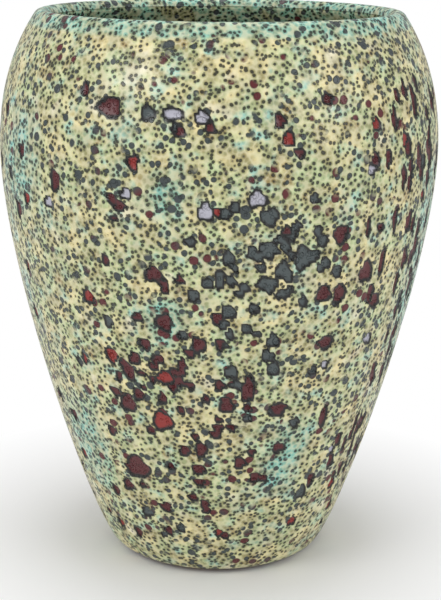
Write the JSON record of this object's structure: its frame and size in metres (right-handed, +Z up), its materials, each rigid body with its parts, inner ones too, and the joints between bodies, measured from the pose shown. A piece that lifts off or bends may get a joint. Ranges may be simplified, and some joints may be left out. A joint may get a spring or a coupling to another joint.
{
  "type": "tall jar",
  "caption": "Tall wide-shouldered stoneware jar with an open mouth, a thick crater glaze, a narrow foot ring and a drain hole.",
  "frame": {"origin": "centre of the foot ring, at the height of the surface that the jar stands on", "axes": "+Z up along the jar's axis of turning, -Y towards the viewer of the picture, +X to the viewer's right"},
  "size_m": [0.4598, 0.46, 0.584],
  "materials": {
    "raw_clay": "unglazed iron-bearing stoneware, matt",
    "crater_glaze": "thick pitted glaze in cream, pale green and turquoise with slate and maroon craters, satin to glossy",
    "mouth_glaze": "turquoise-green glaze, glossy"
  },
  "bodies": {
    "root": {"base_section": "raw_clay", "lower_wall": "raw_clay", "upper_wall": "raw_clay", "rim_coil": "raw_clay", "outer_glaze": "crater_glaze", "inner_glaze": "mouth_glaze"}
  },
  "joints": []
}
